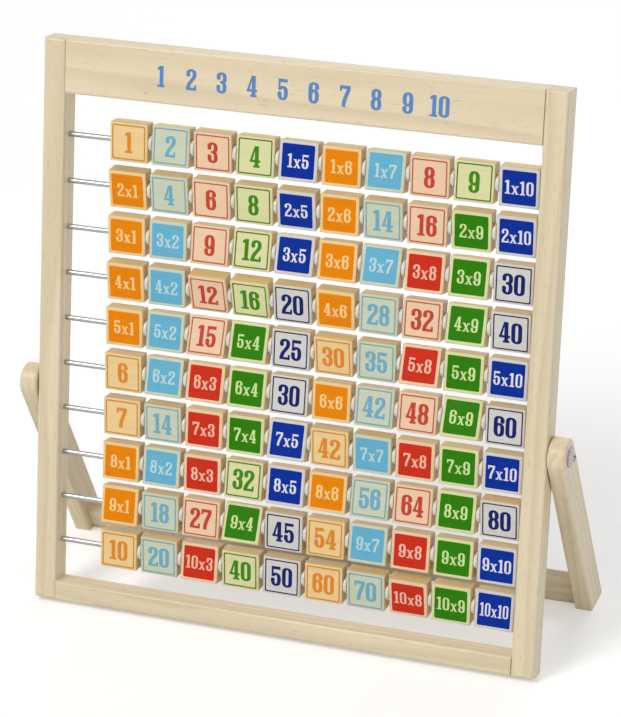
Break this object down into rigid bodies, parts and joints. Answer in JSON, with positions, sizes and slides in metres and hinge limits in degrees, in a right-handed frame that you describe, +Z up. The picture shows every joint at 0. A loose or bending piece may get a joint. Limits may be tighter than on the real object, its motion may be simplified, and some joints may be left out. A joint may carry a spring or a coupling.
{
  "type": "multiplication board",
  "caption": "Leaning wooden frame with rods that carry turning number tiles, on a folding U-shaped stand.",
  "frame": {"origin": "middle of the footprint's box, on the surface that the board stands on", "axes": "+X along the rods towards the right-hand stile, +Y from the printed front to the back, +Z up"},
  "size_m": [0.3234, 0.1006, 0.3155],
  "materials": {
    "frame_wood": "pale beech, satin lacquer",
    "tile_wood": "pale lime wood, satin lacquer, printed",
    "dowel_wood": "plain beech",
    "rod_steel": "bright drawn wire",
    "screw_steel": "zinc plated",
    "ring_plastic": "white, slightly satin"
  },
  "bodies": {
    "frame": {"header_board": "frame_wood", "bottom_rail": "frame_wood", "left_stile": "frame_wood", "right_stile": "frame_wood", "header_dowels": "dowel_wood", "rail_dowels": "dowel_wood", "rod_1": "rod_steel", "rod_2": "rod_steel", "rod_3": "rod_steel", "rod_4": "rod_steel", "rod_5": "rod_steel", "rod_6": "rod_steel", "rod_7": "rod_steel", "rod_8": "rod_steel", "rod_9": "rod_steel", "rod_10": "rod_steel", "pivot_screws": "screw_steel", "pivot_washers": "screw_steel", "stop_pins": "screw_steel"},
    "stand": {"left_leg": "frame_wood", "right_leg": "frame_wood", "crossbar": "frame_wood", "crossbar_dowels": "dowel_wood"},
    "rings_1": {"row_1_spacers": "ring_plastic"},
    "tiles_1": {"row_1_tiles": "tile_wood"},
    "rings_2": {"row_2_spacers": "ring_plastic"},
    "tiles_2": {"row_2_tiles": "tile_wood"},
    "rings_3": {"row_3_spacers": "ring_plastic"},
    "tiles_3": {"row_3_tiles": "tile_wood"},
    "rings_4": {"row_4_spacers": "ring_plastic"},
    "tiles_4": {"row_4_tiles": "tile_wood"},
    "rings_5": {"row_5_spacers": "ring_plastic"},
    "tiles_5": {"row_5_tiles": "tile_wood"},
    "rings_6": {"row_6_spacers": "ring_plastic"},
    "tiles_6": {"row_6_tiles": "tile_wood"},
    "rings_7": {"row_7_spacers": "ring_plastic"},
    "tiles_7": {"row_7_tiles": "tile_wood"},
    "rings_8": {"row_8_spacers": "ring_plastic"},
    "tiles_8": {"row_8_tiles": "tile_wood"},
    "rings_9": {"row_9_spacers": "ring_plastic"},
    "tiles_9": {"row_9_tiles": "tile_wood"},
    "rings_10": {"row_10_spacers": "ring_plastic"},
    "tiles_10": {"row_10_tiles": "tile_wood"}
  },
  "joints": [
    {"name": "stand_fold", "type": "hinge", "parent": "frame", "child": "stand", "pos_m": [0, -0.01294, 0.12332], "axis": [1, 0, 0], "range_deg": [-30.41, 0]},
    {"name": "row_1_slide", "type": "slide", "parent": "frame", "child": "rings_1", "axis": [-1, 0, 0], "range_m": [0, 0.0258]},
    {"name": "row_1_turn", "type": "hinge", "parent": "rings_1", "child": "tiles_1", "pos_m": [0, 0.02166, 0.26207], "axis": [1, 0, 0], "continuous": true},
    {"name": "row_2_slide", "type": "slide", "parent": "frame", "child": "rings_2", "axis": [-1, 0, 0], "range_m": [0, 0.0258]},
    {"name": "row_2_turn", "type": "hinge", "parent": "rings_2", "child": "tiles_2", "pos_m": [0, 0.01537, 0.23684], "axis": [1, 0, 0], "continuous": true},
    {"name": "row_3_slide", "type": "slide", "parent": "frame", "child": "rings_3", "axis": [-1, 0, 0], "range_m": [0, 0.0258]},
    {"name": "row_3_turn", "type": "hinge", "parent": "rings_3", "child": "tiles_3", "pos_m": [0, 0.00908, 0.21161], "axis": [1, 0, 0], "continuous": true},
    {"name": "row_4_slide", "type": "slide", "parent": "frame", "child": "rings_4", "axis": [-1, 0, 0], "range_m": [0, 0.0258]},
    {"name": "row_4_turn", "type": "hinge", "parent": "rings_4", "child": "tiles_4", "pos_m": [0, 0.00279, 0.18639], "axis": [1, 0, 0], "continuous": true},
    {"name": "row_5_slide", "type": "slide", "parent": "frame", "child": "rings_5", "axis": [-1, 0, 0], "range_m": [0, 0.0258]},
    {"name": "row_5_turn", "type": "hinge", "parent": "rings_5", "child": "tiles_5", "pos_m": [0, -0.0035, 0.16116], "axis": [1, 0, 0], "continuous": true},
    {"name": "row_6_slide", "type": "slide", "parent": "frame", "child": "rings_6", "axis": [-1, 0, 0], "range_m": [0, 0.0258]},
    {"name": "row_6_turn", "type": "hinge", "parent": "rings_6", "child": "tiles_6", "pos_m": [0, -0.00979, 0.13593], "axis": [1, 0, 0], "continuous": true},
    {"name": "row_7_slide", "type": "slide", "parent": "frame", "child": "rings_7", "axis": [-1, 0, 0], "range_m": [0, 0.0258]},
    {"name": "row_7_turn", "type": "hinge", "parent": "rings_7", "child": "tiles_7", "pos_m": [0, -0.01608, 0.1107], "axis": [1, 0, 0], "continuous": true},
    {"name": "row_8_slide", "type": "slide", "parent": "frame", "child": "rings_8", "axis": [-1, 0, 0], "range_m": [0, 0.0258]},
    {"name": "row_8_turn", "type": "hinge", "parent": "rings_8", "child": "tiles_8", "pos_m": [0, -0.02237, 0.08548], "axis": [1, 0, 0], "continuous": true},
    {"name": "row_9_slide", "type": "slide", "parent": "frame", "child": "rings_9", "axis": [-1, 0, 0], "range_m": [0, 0.0258]},
    {"name": "row_9_turn", "type": "hinge", "parent": "rings_9", "child": "tiles_9", "pos_m": [0, -0.02866, 0.06025], "axis": [1, 0, 0], "continuous": true},
    {"name": "row_10_slide", "type": "slide", "parent": "frame", "child": "rings_10", "axis": [-1, 0, 0], "range_m": [0, 0.0258]},
    {"name": "row_10_turn", "type": "hinge", "parent": "rings_10", "child": "tiles_10", "pos_m": [0, -0.03495, 0.03502], "axis": [1, 0, 0], "continuous": true}
  ]
}
